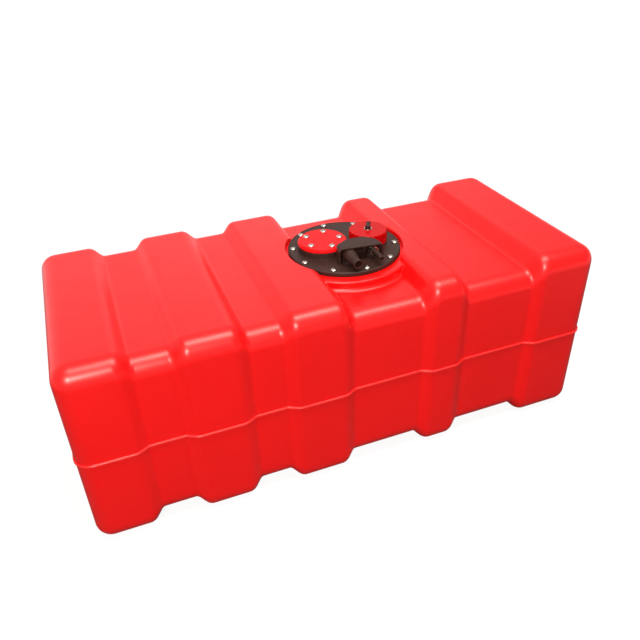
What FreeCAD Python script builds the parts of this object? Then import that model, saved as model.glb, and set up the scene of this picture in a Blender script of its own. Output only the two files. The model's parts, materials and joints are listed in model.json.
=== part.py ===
"""Built-in marine fuel tank with a service flange, as a parametric document.

The tank is one ribbed hollow moulding. A round flange screwed to its boss carries a blanked gauge
hole, a hooded pair of hose tails and the suction pickup, which a captive ring nut holds down.
Millimetres, +Z up. The origin is the middle of the tank's footprint, the length runs along X and the
hose tails point to the front, -Y.
"""
import FreeCAD, Part
import math
import os

import Sketcher
from FreeCAD import Vector

# Driving sizes: alias, value, what it is
SIZES = (
    # Tank moulding
    ("tank_length", 800, "length over the end faces"),
    ("tank_width", 350, "width over the ribs"),
    ("tank_height", 300, "height over the ribs"),
    ("wall", 5, "wall of the moulding"),
    ("corner_radius", 26, "rounding of the four long edges"),
    ("end_radius", 24, "rounding of the end faces' edges"),
    ("shoulder_radius", 16, "rounding where a rib's top turns into its sloping wall"),
    ("foot_radius", 9, "rounding where a rib's wall meets the groove's floor"),
    ("wall_run", 15, "length along X of a rib's sloping wall"),
    ("side_groove", 9, "depth of the grooves in the front and back"),
    ("base_groove", 15, "depth of the grooves in the bottom"),
    ("shallow_groove", 13.5, "depth in the top of the two left grooves"),
    ("deep_groove", 25, "depth in the top of the two right grooves"),
    ("groove_one_left", 279, "middle of the first groove, left of the tank's middle"),
    ("groove_one_floor", 51, "floor of the first groove"),
    ("groove_two_left", 131, "middle of the second groove, left of the tank's middle"),
    ("groove_two_floor", 48.5, "floor of the second groove"),
    ("groove_three_floor", 110, "floor of the third groove, which carries the flange"),
    ("groove_four_right", 234, "middle of the fourth groove, right of the tank's middle"),
    ("groove_four_floor", 110.5, "floor of the fourth groove"),
    ("seam_height", 150, "height of the mould's parting bead"),
    ("seam_reach", 2, "how far the bead stands out"),
    ("seam_thickness", 4, "height of the bead"),
    ("seam_bevel", 1, "bevel of the bead's edges"),
    # Boss and pocket for the flange
    ("flange_right", 51, "flange centre, right of the tank's middle"),
    ("boss_shelf", 15, "round boss in the third groove, beyond the flange plate's edge"),
    ("boss_round", 2.5, "rounding of the boss's lip"),
    ("boss_foot", 6, "rounding at the boss's foot"),
    ("boss_thickness", 14, "thickness of the boss's top"),
    ("seat_depth", 10, "flange seat below the rib tops"),
    ("pocket_gap", 4, "gap round the flange in its pocket"),
    ("pocket_round", 2, "rounding of the pocket's rim"),
    ("mouth_margin", 21, "opening of the tank, in from the flange plate's edge"),
    # Flange plate, gasket and screws
    ("plate_radius", 88, "flange plate"),
    ("plate_thickness", 6, "flange plate"),
    ("plate_bevel", 1.2, "bevel of the plate's rim"),
    ("rim_width", 1.2, "raised rim along the plate's edge"),
    ("rim_height", 0.5, "raised rim along the plate's edge"),
    ("gasket_thickness", 1.5, "flange gasket"),
    ("gasket_margin", 1, "gasket edges back from the plate's edge and the tank's mouth"),
    ("screw_margin", 8, "circle of the flange screws, in from the plate's edge"),
    ("screw_turn", 20, "angle of the first flange screw"),
    ("screw_radius", 2.4, "flange screw shank"),
    ("screw_play", 0.3, "play of a screw in its plain hole"),
    ("screw_grip", 8, "length of a flange screw inside its insert"),
    ("head_radius", 4.7, "screw head"),
    ("head_height", 3, "screw head"),
    ("recess_radius", 1.7, "driving recess"),
    ("recess_depth", 1.6, "driving recess"),
    ("insert_radius", 4, "brass insert of a flange screw"),
    ("insert_length", 10, "brass insert of a flange screw"),
    ("thread_fit", 0.05, "radial fit of threads and inserts"),
    # Gauge pad and cover
    ("gauge_left", 33.5, "gauge centre, left of the flange centre"),
    ("gauge_back", 6.5, "gauge centre, behind the flange centre"),
    ("pad_radius", 38.5, "gauge pad"),
    ("pad_height", 8.5, "gauge pad above the plate"),
    ("sender_radius", 20, "hole for a level sender"),
    ("gauge_gasket_thickness", 1, "gasket under the cover"),
    ("cover_radius", 38.4, "gauge cover"),
    ("cover_thickness", 5, "gauge cover"),
    ("cover_edge", 2.2, "height of the cover's plain edge"),
    ("cover_bevel", 2, "width of the cover's bevel"),
    ("cover_lip", 0.5, "step between the bevel and the cover's face"),
    ("gauge_circle", 27.2, "radius of the cover screws' circle"),
    ("gauge_turn", 6.5, "angle of the first cover screw, clockwise"),
    ("gauge_screw_radius", 1.9, "cover screw shank"),
    ("gauge_screw_grip", 5, "length of a cover screw inside its insert"),
    ("gauge_insert_radius", 3, "insert in the gauge pad"),
    ("gauge_insert_length", 7, "insert in the gauge pad"),
    # Hood over the hose tails, from the flange centre and the plate's top
    ("hood_left", 32, "left end of the hood's front edge"),
    ("hood_right", 40.5, "right end of the hood's front edge"),
    ("hood_front", 58, "hood's open front"),
    ("hood_back", 27.5, "hood's back wall"),
    ("hood_left_taper", 2, "inward lean of the left wall"),
    ("hood_right_taper", 7.5, "inward lean of the right wall"),
    ("hood_left_depth", 16, "length of the left wall"),
    ("hood_right_depth", 20, "length of the right wall"),
    ("hood_back_left", 7, "left end of the back wall"),
    ("hood_back_right", 21, "right end of the back wall"),
    ("hood_high", 26.5, "height at the left end"),
    ("hood_low", 22.5, "height at the right end"),
    ("hood_corner", 6, "rounding of the hood's upper corners"),
    ("hood_wall", 2, "wall of the hood"),
    ("hood_rib_right", 9, "stiffening rib under the roof"),
    ("hood_rib_depth", 6, "stiffening rib under the roof"),
    ("hood_rib_thickness", 1.8, "stiffening rib under the roof"),
    # Filler elbow
    ("filler_left", 14, "filler stem, left of the flange centre"),
    ("filler_front", 49, "filler stem, in front of the flange centre"),
    ("tail_height", 12.5, "axis of both hose tails above the plate"),
    ("filler_stem_radius", 7, "threaded stem"),
    ("filler_collar_radius", 11, "collar on the plate"),
    ("filler_collar_height", 2, "collar on the plate"),
    ("filler_seal_thickness", 1.5, "seal under the collar"),
    ("filler_stem_depth", 13, "stem below the plate's underside"),
    ("filler_back", 7, "end of the elbow behind the stem"),
    ("filler_round", 3, "bevel of the elbow's back end"),
    ("filler_root_radius", 10.5, "elbow and first barb"),
    ("filler_root", 6, "plain root in front of the stem"),
    ("filler_barb_pitch", 3.5, "barb to barb"),
    ("filler_barb_height", 0.9, "step behind each barb"),
    ("filler_taper", 2.6, "how much the barbs' crests shrink towards the mouth"),
    ("filler_land_radius", 7, "plain land at the mouth"),
    ("filler_land_length", 15, "plain land at the mouth"),
    ("filler_bore", 5.5, "bore of the filler"),
    ("filler_nut_flats", 10.5, "half the width across the nut's flats"),
    ("filler_nut_height", 6, "lock nut"),
    # Vent elbow
    ("vent_right", 25, "vent stem, right of the flange centre"),
    ("vent_front", 44, "vent stem, in front of the flange centre"),
    ("vent_stem_radius", 5, "threaded stem"),
    ("vent_collar_radius", 6.8, "collar on the plate"),
    ("vent_collar_height", 2, "collar on the plate"),
    ("vent_seal_thickness", 1.5, "seal under the collar"),
    ("vent_stem_depth", 11, "stem below the plate's underside"),
    ("vent_back", 5, "end of the elbow behind the stem"),
    ("vent_round", 1.5, "bevel of the elbow's back end"),
    ("vent_root_radius", 5.5, "elbow in front of the stem"),
    ("vent_root", 7, "elbow in front of the stem"),
    ("vent_seat_radius", 4.5, "seat of the ferrule at the pipe's root"),
    ("vent_pipe_radius", 4, "plain pipe of the vent tail"),
    ("vent_pipe_length", 34, "plain pipe of the vent tail"),
    ("vent_mouth_bevel", 0.6, "bevel of the pipe's mouth"),
    ("vent_bore", 2.6, "bore of the vent"),
    ("vent_nut_flats", 8, "half the width across the nut's flats"),
    ("vent_nut_height", 5, "lock nut"),
    ("ferrule_radius", 6.4, "bright ferrule's rings"),
    ("ferrule_waist", 5.2, "bright ferrule between its rings"),
    ("ferrule_ring", 1.6, "length of each ring"),
    ("ferrule_length", 8, "bright ferrule"),
    # Pickup neck, plug and ring nut
    ("pickup_right", 41, "pickup centre, right of the flange centre"),
    ("neck_radius", 25.2, "outside of the threaded neck"),
    ("neck_bore", 18.5, "bore of the neck"),
    ("neck_height", 13, "neck above the plate"),
    ("pickup_seal_thickness", 1.5, "seal on the neck's rim"),
    ("plug_play", 0.35, "radial play of the plug in the neck"),
    ("plug_depth", 19, "plug below its shoulder"),
    ("shoulder_thickness", 2.5, "shoulder of the plug"),
    ("shoulder_margin", 1, "shoulder and seal back from the neck's outside"),
    ("stem_radius", 5, "outlet stem of the plug"),
    ("stem_rise", 1.8, "outlet stem above the ring nut"),
    ("fuel_bore", 2.3, "fuel way of the pickup and the outlet"),
    ("nut_radius", 30, "ring nut over its ridges"),
    ("nut_play", 0.4, "radial play of the ring nut on the neck and the stem"),
    ("nut_top", 3.5, "top of the ring nut"),
    ("nut_foot_gap", 1.5, "gap from the ring nut to the plate"),
    ("nut_bevel", 1, "bevel of the ring nut's top edge"),
    ("flute_radius", 2.6, "flute of the ring nut"),
    ("flute_depth", 1.4, "flute of the ring nut"),
    ("retainer_thickness", 1.2, "retaining ring"),
    ("retainer_radius", 6.4, "retaining ring"),
    ("spigot_radius", 3.1, "spigot that carries the dip tube"),
    ("spigot_length", 9, "spigot that carries the dip tube"),
    ("tube_wall", 1.3, "wall of the dip tube"),
    ("strainer_gap", 4, "strainer above the tank's inner floor"),
    ("strainer_radius", 9, "strainer"),
    ("strainer_height", 26, "strainer"),
    ("strainer_wall", 1.4, "strainer"),
    ("strainer_slot_width", 2.6, "slot in the strainer"),
    ("strainer_slot_height", 14, "slot in the strainer"),
    ("strainer_socket", 6, "tube inside the strainer's top"),
    # Outlet elbow
    ("swivel_play", 0.3, "play of the outlet's spigot in its seal"),
    ("swivel_radius", 2.9, "spigot of the outlet elbow"),
    ("swivel_depth", 4, "spigot of the outlet elbow"),
    ("seal_width", 0.8, "width of the swivel's seal"),
    ("outlet_radius", 3.9, "upright part of the outlet elbow"),
    ("outlet_rise", 3.2, "outlet's axis above the stem"),
    ("outlet_tail_radius", 3.1, "outlet hose tail"),
    ("outlet_tail_length", 12, "outlet hose tail from the swivel axis"),
    ("outlet_barb_height", 0.5, "barb at the outlet's mouth"),
    ("outlet_barb_length", 2, "barb at the outlet's mouth"),
    ("outlet_bore", 1.9, "bore of the outlet hose tail"),
    ("outlet_turn", 62, "outlet tail's heading from +X at rest"),
)

FLANGE_SCREWS = 10
GAUGE_SCREWS = 5
FILLER_BARBS = 5
NUT_FLUTES = 24
STRAINER_SLOTS = 8

# Share of the wall by which the inside of a rib is shorter at each end than its outside
INNER_SHIFT = 0.55
# Points of a screw head's domed side, as shares of its radius and height
HEAD_DOME = ((1.0, 0.3), (0.8, 0.75), (0.5, 1.0))
TINY = 1e-4
EXTRA = 20.0  # how far a cutting tool runs past what it cuts

doc = FreeCAD.newDocument("marine_fuel_tank")
sheet = doc.addObject("Spreadsheet::Sheet", "Sizes")
for row, (alias, number, note) in enumerate(SIZES, start=1):
    sheet.set(f"A{row}", note)
    sheet.set(f"B{row}", str(number))
    sheet.setAlias(f"B{row}", alias)
doc.recompute()


def size(alias):
    """One driving size, read from the sheet."""
    return float(getattr(sheet, alias))


def total(text):
    """Value of a sum such as 'plate_radius - 0.5*rim_width'."""
    result, sign = 0.0, 1.0
    for term in text.split():
        if term in "+-":
            sign = 1.0 if term == "+" else -1.0
            continue
        product = sign
        for factor in term.split("*"):
            product *= size(factor) if factor[0].isalpha() else float(factor)
        result += product
        sign = 1.0
    return result


def linked(text):
    """The same sum as an expression on the sheet's cells."""
    terms = []
    for term in text.split():
        factors = term.split("*")
        terms.append("*".join(f"Sizes.{one}" if one[0].isalpha() else one for one in factors))
    return " ".join(terms)


# Heights, radii and places that several pieces share, as sums of the driving sizes
SEAT = "tank_height - seat_depth"
PLATE_BASE = SEAT + " + gasket_thickness"
PLATE_TOP = PLATE_BASE + " + plate_thickness"
PAD_TOP = PLATE_TOP + " + pad_height"
COVER_TOP = PAD_TOP + " + gauge_gasket_thickness + cover_thickness"
TAIL_AXIS = PLATE_TOP + " + tail_height"
NECK_TOP = PLATE_TOP + " + neck_height"
SHOULDER_BASE = NECK_TOP + " + pickup_seal_thickness"
NUT_CEILING = SHOULDER_BASE + " + shoulder_thickness"
NUT_CROWN = NUT_CEILING + " + nut_top"
STEM_TOP = NUT_CROWN + " + stem_rise"
PLUG_BASE = SHOULDER_BASE + " - plug_depth"
INNER_FLOOR = "base_groove + wall"
SCREW_CIRCLE = "plate_radius - screw_margin"
MOUTH_RADIUS = "plate_radius - mouth_margin"
BOSS_RADIUS = "plate_radius + boss_shelf"

FLANGE = ("flange_right", "0")
GAUGE = ("flange_right - gauge_left", "gauge_back")
FILLER = ("flange_right - filler_left", "- filler_front")
VENT = ("flange_right + vent_right", "- vent_front")
PICKUP = ("flange_right + pickup_right", "0")


def place(item, spot, height):
    """Tie an object's place to the sheet."""
    for axis, text in zip("xyz", (*spot, height)):
        item.setExpression(f"Placement.Base.{axis}", linked(text))


def spot_vector(spot, height):
    return Vector(total(spot[0]), total(spot[1]), total(height))


# Sketches and solids of revolution

def origin_part(body, role):
    """One of a body's own origin planes or axes."""
    return next(item for item in body.Origin.OriginFeatures if item.Role == role)


def new_sketch(body, name, role):
    sketch = body.newObject("Sketcher::SketchObject", name)
    sketch.AttachmentSupport = [(origin_part(body, role), "")]
    sketch.MapMode = "FlatFace"
    return sketch


def tie_point(sketch, edge, point, across, up):
    """Hold one sketch point at sheet-driven distances from the sketch's origin."""
    for kind, text in (("DistanceX", across), ("DistanceY", up)):
        rule = Sketcher.Constraint(kind, -1, 1, edge, point, total(text))
        index = sketch.addConstraint(rule)
        sketch.setExpression(f"Constraints[{index}]", linked(text))


def outline(sketch, points):
    """Closed outline of straight lines through sheet-driven points."""
    spots = [Vector(total(across), total(up), 0) for across, up in points]
    for start, end in zip(spots, spots[1:] + spots[:1]):
        sketch.addGeometry(Part.LineSegment(start, end), False)
    count = len(points)
    for edge in range(count):
        sketch.addConstraint(Sketcher.Constraint("Coincident", edge, 2, (edge + 1) % count, 1))
    for edge, (across, up) in enumerate(points):
        tie_point(sketch, edge, 1, across, up)


def new_body(label):
    body = doc.addObject("PartDesign::Body", label)
    body.Label = label
    return body


def spin(body, name, role, axis, points, cut=False):
    """Turn an outline about one of its sketch's axes, adding or cutting."""
    sketch = new_sketch(body, name + "_outline", role)
    outline(sketch, points)
    kind = "PartDesign::Groove" if cut else "PartDesign::Revolution"
    feature = body.newObject(kind, name)
    feature.Profile = sketch
    feature.ReferenceAxis = (sketch, [axis])
    feature.Angle = 360.0
    return feature


def turned(label, points, spot, height):
    """A piece turned about an upright axis, from half its section as (radius, height) pairs."""
    body = new_body(label)
    spin(body, label + "_turned", "XZ_Plane", "V_Axis", points)
    place(body, spot, height)
    return body


def ring(label, inner, outer, thickness, spot, height):
    """A flat ring on an upright axis."""
    points = ((inner, "0"), (outer, "0"), (outer, thickness), (inner, thickness))
    return turned(label, points, spot, height)


def cylinder(name, radius, height, spot, base):
    item = doc.addObject("Part::Cylinder", name)
    item.setExpression("Radius", linked(radius))
    item.setExpression("Height", linked(height))
    place(item, spot, base)
    return item


def shaped(label, shape, spot=("0", "0"), height="0"):
    """A piece whose shape is worked out in code from the sheet's sizes."""
    item = doc.addObject("Part::Feature", label)
    item.Label = label
    item.Shape = shape
    place(item, spot, height)
    return item


def fuse(name, items):
    item = doc.addObject("Part::MultiFuse", name)
    item.Shapes = items
    return item


def cut(label, base, tool):
    item = doc.addObject("Part::Cut", label)
    item.Base = base
    item.Tool = tool
    item.Label = label
    return item


def round_pattern(shape, count, radius, first_turn, spot):
    """Copies of an upright shape, evenly spaced on a circle round a spot."""
    centre = spot_vector(spot, "0")
    copies = []
    for index in range(count):
        turn = math.radians(first_turn + index * 360.0 / count)
        copy = shape.copy()
        copy.translate(centre + Vector(radius * math.cos(turn), radius * math.sin(turn), 0))
        copies.append(copy)
    return Part.makeCompound(copies)


def post(radius, bottom, top):
    """Upright cylinder on the Z axis between two heights."""
    return Part.makeCylinder(radius, top - bottom, Vector(0, 0, bottom))


# Tank moulding

def tank_section(along, half_width, bottom, top, radius):
    """Rounded rectangle across the tank."""
    corners = (
        (half_width - radius, top - radius),
        (radius - half_width, top - radius),
        (radius - half_width, bottom + radius),
        (half_width - radius, bottom + radius),
    )

    def on_arc(corner, turn):
        across, up = corners[corner]
        angle = math.radians(90 * corner + turn)
        return Vector(along, across + radius * math.cos(angle), up + radius * math.sin(angle))

    edges = []
    for corner in range(4):
        edges.append(Part.Arc(on_arc(corner, 0), on_arc(corner, 45), on_arc(corner, 90)).toShape())
        edges.append(Part.LineSegment(on_arc(corner, 90), on_arc((corner + 1) % 4, 0)).toShape())
    return Part.Wire(edges)


def groove_runs():
    """Middle, floor length and top depth of each groove, from left to right."""
    shallow, deep = size("shallow_groove"), size("deep_groove")
    return (
        (-size("groove_one_left"), size("groove_one_floor"), shallow),
        (-size("groove_two_left"), size("groove_two_floor"), shallow),
        (size("flange_right"), size("groove_three_floor"), deep),
        (size("groove_four_right"), size("groove_four_floor"), deep),
    )


def ribbed_block(inset):
    """The ribbed form, drawn in by the inset, with the places of its shoulders and feet."""
    half_width = size("tank_width") / 2 - inset
    top = size("tank_height") - inset
    radius = size("corner_radius") - inset
    end = size("tank_length") / 2 - inset
    shift = INNER_SHIFT * inset

    def rib(along):
        return tank_section(along, half_width, inset, top, radius)

    def groove(along, depth):
        width = half_width - size("side_groove")
        return tank_section(along, width, inset + size("base_groove"), top - depth, radius)

    sections, shoulders, feet = [rib(-end)], [], []
    for middle, floor, depth in groove_runs():
        foot = floor / 2 + shift
        shoulder = foot + size("wall_run")
        sections += [rib(middle - shoulder), groove(middle - foot, depth)]
        sections += [groove(middle + foot, depth), rib(middle + shoulder)]
        shoulders += [middle - shoulder, middle + shoulder]
        feet += [middle - foot, middle + foot]
    sections.append(rib(end))
    return Part.makeLoft(sections, True, True), (-end, end), shoulders, feet


def rounded_at(block, places, radius):
    """Round the edge loops that lie across the tank at the given places."""
    edges = []
    for edge in block.Edges:
        box = edge.BoundBox
        if any(abs(box.XMin - along) < TINY and abs(box.XMax - along) < TINY for along in places):
            edges.append(edge)
    return block.makeFillet(radius, edges)


def rounded_wire(corners):
    """Closed flat outline through (corner, radius) pairs, each corner rounded by an arc."""
    count = len(corners)
    stretches = []
    for index, (corner, radius) in enumerate(corners):
        back = (corners[index - 1][0] - corner).normalize()
        ahead = (corners[(index + 1) % count][0] - corner).normalize()
        half = back.getAngle(ahead) / 2
        reach = radius / math.tan(half)
        inward = (back + ahead).normalize()
        centre = corner + inward * (radius / math.sin(half))
        stretches.append((corner + back * reach, centre - inward * radius, corner + ahead * reach))
    edges = []
    for index, (start, middle, end) in enumerate(stretches):
        edges.append(Part.Arc(start, middle, end).toShape())
        edges.append(Part.LineSegment(end, stretches[(index + 1) % count][0]).toShape())
    return Part.Wire(edges)


def seam_outline(reach, height):
    """The tank's outline at the parting line, moved out by the reach."""
    half_length = size("tank_length") / 2 + reach
    rib = size("tank_width") / 2 + reach
    groove = rib - size("side_groove")
    lean = math.atan2(size("side_groove"), size("wall_run"))
    shift = reach * math.tan(lean / 2)
    shoulder_round = size("shoulder_radius") + reach
    foot_round = size("foot_radius") - reach
    front = [(Vector(-half_length, -rib, height), size("end_radius") + reach)]
    for middle, floor, _ in groove_runs():
        foot = floor / 2 - shift
        shoulder = foot + size("wall_run")
        front += [
            (Vector(middle - shoulder, -rib, height), shoulder_round),
            (Vector(middle - foot, -groove, height), foot_round),
            (Vector(middle + foot, -groove, height), foot_round),
            (Vector(middle + shoulder, -rib, height), shoulder_round),
        ]
    front.append((Vector(half_length, -rib, height), size("end_radius") + reach))
    back = [(Vector(corner.x, -corner.y, height), radius) for corner, radius in reversed(front)]
    return rounded_wire(front + back)


def seam_bead():
    """Slab with bevelled edges that stands out all round the tank at the parting line."""
    middle, half = size("seam_height"), size("seam_thickness") / 2
    reach, bevel = size("seam_reach"), size("seam_bevel")
    levels = (
        (reach - bevel, middle - half),
        (reach, middle - half + bevel),
        (reach, middle + half - bevel),
        (reach - bevel, middle + half),
    )
    return Part.makeLoft([seam_outline(*level) for level in levels], True, True)


def turned_profile(steps, centre):
    """Solid turned about an upright axis from lines, and arcs given as (middle, end) pairs."""
    edges, last = [], None
    for step in steps:
        ends = [Vector(radius, 0, height) for radius, height in step]
        if last is not None and len(ends) == 1:
            edges.append(Part.LineSegment(last, ends[0]).toShape())
        elif last is not None:
            edges.append(Part.Arc(last, ends[0], ends[1]).toShape())
        last = ends[-1]
    solid = Part.Face(Part.Wire(edges)).revolve(Vector(), Vector(0, 0, 1), 360)
    solid.translate(centre)
    return solid


def quarter(centre_radius, centre_height, radius, first, last):
    """Middle and end of an arc about a point of the section, between two angles."""
    points = []
    for turn in ((first + last) / 2, last):
        angle = math.radians(turn)
        points.append((centre_radius + radius * math.cos(angle), centre_height + radius * math.sin(angle)))
    return tuple(points)


def boss_solid(centre):
    """Round boss with a rounded lip and a rounded foot, from inside the wall up to the seat."""
    seat = total(SEAT)
    floor = size("tank_height") - size("deep_groove")
    base = floor - size("wall") / 2
    radius, lip, foot = total(BOSS_RADIUS), size("boss_round"), size("boss_foot")
    steps = (
        ((0, base),),
        ((radius + foot, base),),
        ((radius + foot, floor),),
        quarter(radius + foot, floor + foot, foot, 270, 180),
        ((radius, seat - lip),),
        quarter(radius - lip, seat - lip, lip, 0, 90),
        ((0, seat),),
        ((0, base),),
    )
    return turned_profile(steps, centre)


def pocket_tool(centre):
    """What the flange's pocket takes out of the ribs, with a rounded rim."""
    seat, top, rim = total(SEAT), size("tank_height"), size("pocket_round")
    radius = total("plate_radius + pocket_gap")
    steps = (
        ((0, seat),),
        ((radius, seat),),
        ((radius, top - rim),),
        quarter(radius + rim, top - rim, rim, 180, 90),
        ((radius + rim, top + EXTRA),),
        ((0, top + EXTRA),),
        ((0, seat),),
    )
    return turned_profile(steps, centre)


def tank_shell():
    centre = spot_vector(FLANGE, "0")
    seat, wall, top = total(SEAT), size("wall"), size("tank_height")
    outside, ends, shoulders, feet = ribbed_block(0)
    outside = rounded_at(outside, feet, size("foot_radius"))
    outside = rounded_at(outside, shoulders, size("shoulder_radius"))
    outside = rounded_at(outside, ends, size("end_radius"))
    outside = outside.fuse([seam_bead(), boss_solid(centre)])

    space, ends, _, _ = ribbed_block(wall)
    space = rounded_at(space, ends, size("end_radius") - wall)
    ceiling = seat - size("boss_thickness")
    relief = post(total(BOSS_RADIUS) - wall, ceiling - wall - size("boss_foot"), ceiling)
    relief.translate(centre)
    kept = post(total(BOSS_RADIUS), ceiling, top)
    kept.translate(centre)
    mouth = post(total(MOUTH_RADIUS), ceiling - EXTRA, top)
    mouth.translate(centre)
    space = space.fuse([relief]).cut(kept)

    hole = post(total("insert_radius + thread_fit"), seat - size("insert_length"), top)
    holes = round_pattern(hole, FLANGE_SCREWS, total(SCREW_CIRCLE), size("screw_turn"), FLANGE)
    shell = outside.cut([space, pocket_tool(centre), mouth, holes])
    return shaped("tank_shell", shell)


# Screws and inserts

def screw_solid(shank_radius, length):
    """Domed screw with a driving recess, its head's underside at height 0."""
    head, high, recess = size("head_radius"), size("head_height"), size("recess_radius")
    dome = [((radius * head, height * high),) for radius, height in HEAD_DOME]
    steps = (
        ((0, -length),),
        ((shank_radius, -length),),
        ((shank_radius, 0),),
        ((head, 0),),
        *dome,
        ((recess, high),),
        ((recess, high - size("recess_depth")),),
        ((0, high - size("recess_depth")),),
        ((0, -length),),
    )
    return turned_profile(steps, Vector())


def screw_ring(label, count, shank, length, height, circle, turn, spot):
    screw = screw_solid(size(shank), total(length))
    screw.translate(Vector(0, 0, total(height)))
    return shaped(label, round_pattern(screw, count, total(circle), turn, spot))


def insert_ring(label, count, outer, shank, length, top, circle, turn, spot):
    high = total(top)
    low = high - size(length)
    sleeve = post(size(outer), low, high).cut(post(size(shank) + size("thread_fit"), low, high))
    return shaped(label, round_pattern(sleeve, count, total(circle), turn, spot))


# Flange plate

def hood_plan(inset, front):
    """Hood's plan, drawn in by the inset, open to the front as far as given."""
    back = -size("hood_back") - inset
    left_taper, left_depth = size("hood_left_taper"), size("hood_left_depth")
    right_taper, right_depth = size("hood_right_taper"), size("hood_right_depth")
    left = -size("hood_left") + left_taper + inset
    right = size("hood_right") - right_taper - inset
    left_side = left_depth - size("hood_front") - inset / 2
    right_side = right_depth - size("hood_front") - inset / 2
    return (
        Vector(left - left_taper / left_depth * (front + left_side), -front, 0),
        Vector(left, left_side, 0),
        Vector(-size("hood_back_left") + inset / 2, back, 0),
        Vector(size("hood_back_right") - inset / 2, back, 0),
        Vector(right, right_side, 0),
        Vector(right + right_taper / right_depth * (front + right_side), -front, 0),
    )


def hood_front_face(inset):
    """Hood's front view, drawn in by the inset, with its foot at height 0."""
    left, right = inset - size("hood_left"), size("hood_right") - inset
    high = size("hood_high") + size("rim_height") - inset
    low = size("hood_low") + size("rim_height") - inset
    radius = size("hood_corner") - inset
    corners = (
        (Vector(left, 0, -EXTRA), radius),
        (Vector(left, 0, high), radius),
        (Vector(right, 0, low), radius),
        (Vector(right, 0, -EXTRA), radius),
    )
    return Part.Face(rounded_wire(corners))


def hood_block(inset, front):
    """What the hood's plan and its front view both allow."""
    tall = size("hood_high") + size("rim_height")
    upright = Part.Face(Part.makePolygon([*hood_plan(inset, front), hood_plan(inset, front)[0]]))
    upright = upright.extrude(Vector(0, 0, tall))
    view = hood_front_face(inset)
    view.translate(Vector(0, -front, 0))
    return upright.common(view.extrude(Vector(0, front, 0)))


def hood_solid():
    front, wall = size("hood_front"), size("hood_wall")
    hood = hood_block(0, front).cut(hood_block(wall, front + EXTRA))
    thick, deep = size("hood_rib_thickness"), size("hood_rib_depth")
    low = size("hood_low") - wall - deep / 2
    rib = Part.makeBox(thick, front - size("hood_back") - wall / 2, deep,
                       Vector(size("hood_rib_right") - thick / 2, -front, low))
    rib = rib.common(hood_block(0, front))
    return hood.fuse([rib])


def flange_plate():
    profile = (
        ("0", "0"),
        ("plate_radius", "0"),
        ("plate_radius", "plate_thickness - plate_bevel"),
        ("plate_radius - plate_bevel", "plate_thickness"),
        ("plate_radius - plate_bevel - rim_width", "plate_thickness"),
        ("plate_radius - plate_bevel - rim_width - rim_height", "plate_thickness - rim_height"),
        ("0", "plate_thickness - rim_height"),
    )
    disc = turned("plate_disc", profile, FLANGE, PLATE_BASE)
    pad = cylinder("gauge_pad", "pad_radius", "pad_height + rim_height", GAUGE,
                   PLATE_TOP + " - rim_height")
    neck = cylinder("pickup_neck", "neck_radius", "neck_height + rim_height", PICKUP,
                    PLATE_TOP + " - rim_height")
    hood = shaped("hood_form", hood_solid(), FLANGE, PLATE_TOP + " - rim_height")
    solid = fuse("plate_solid", [disc, pad, neck, hood])

    low = total(PLATE_BASE) - EXTRA
    high = total(PLATE_TOP)
    screw_hole = post(total("screw_radius + screw_play"), low, high + EXTRA)
    insert_hole = post(total("gauge_insert_radius + thread_fit"),
                       total(PAD_TOP + " - gauge_insert_length"), total(PAD_TOP) + EXTRA)
    holes = [
        round_pattern(screw_hole, FLANGE_SCREWS, total(SCREW_CIRCLE), size("screw_turn"), FLANGE),
        round_pattern(insert_hole, GAUGE_SCREWS, size("gauge_circle"), -size("gauge_turn"), GAUGE),
    ]
    drilled = shaped("screw_holes", Part.makeCompound(holes))
    through = PLATE_BASE + " - plate_thickness"
    length = "3*plate_thickness + pad_height + neck_height"
    sender = cylinder("sender_hole", "sender_radius", length, GAUGE, through)
    bore = cylinder("neck_hole", "neck_bore", length, PICKUP, through)
    filler = cylinder("filler_hole", "filler_stem_radius + thread_fit", "2*plate_thickness",
                      FILLER, through)
    vent = cylinder("vent_hole", "vent_stem_radius + thread_fit", "2*plate_thickness", VENT, through)
    tools = fuse("plate_tools", [sender, bore, filler, vent])
    opened = cut("plate_opened", solid, tools)
    return cut("flange_plate", opened, drilled)


def flange_gasket():
    inner = MOUTH_RADIUS + " + gasket_margin"
    outer = "plate_radius - gasket_margin"
    flat = ring("gasket_ring", inner, outer, "gasket_thickness", FLANGE, SEAT)
    hole = post(total("screw_radius + screw_play"), total(SEAT) - 1, total(PLATE_BASE) + 1)
    holes = round_pattern(hole, FLANGE_SCREWS, total(SCREW_CIRCLE), size("screw_turn"), FLANGE)
    return cut("flange_gasket", flat, shaped("gasket_holes", holes))


# Gauge cover

def gauge_gasket():
    flat = ring("gauge_gasket_ring", "sender_radius", "pad_radius", "gauge_gasket_thickness",
                GAUGE, PAD_TOP)
    hole = post(total("gauge_screw_radius + screw_play"), total(PAD_TOP) - 1,
                total(PAD_TOP + " + gauge_gasket_thickness") + 1)
    holes = round_pattern(hole, GAUGE_SCREWS, size("gauge_circle"), -size("gauge_turn"), GAUGE)
    return cut("gauge_gasket", flat, shaped("gauge_gasket_holes", holes))


def gauge_cover():
    profile = (
        ("0", "0"),
        ("cover_radius", "0"),
        ("cover_radius", "cover_edge"),
        ("cover_radius - cover_bevel", "cover_thickness - cover_lip"),
        ("cover_radius - cover_bevel - cover_lip", "cover_thickness"),
        ("0", "cover_thickness"),
    )
    disc = turned("cover_disc", profile, GAUGE, PAD_TOP + " + gauge_gasket_thickness")
    hole = post(total("gauge_screw_radius + screw_play"), total(PAD_TOP), total(COVER_TOP) + 1)
    holes = round_pattern(hole, GAUGE_SCREWS, size("gauge_circle"), -size("gauge_turn"), GAUGE)
    return cut("gauge_cover", disc, shaped("cover_holes", holes))


# Hose tail elbows

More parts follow.
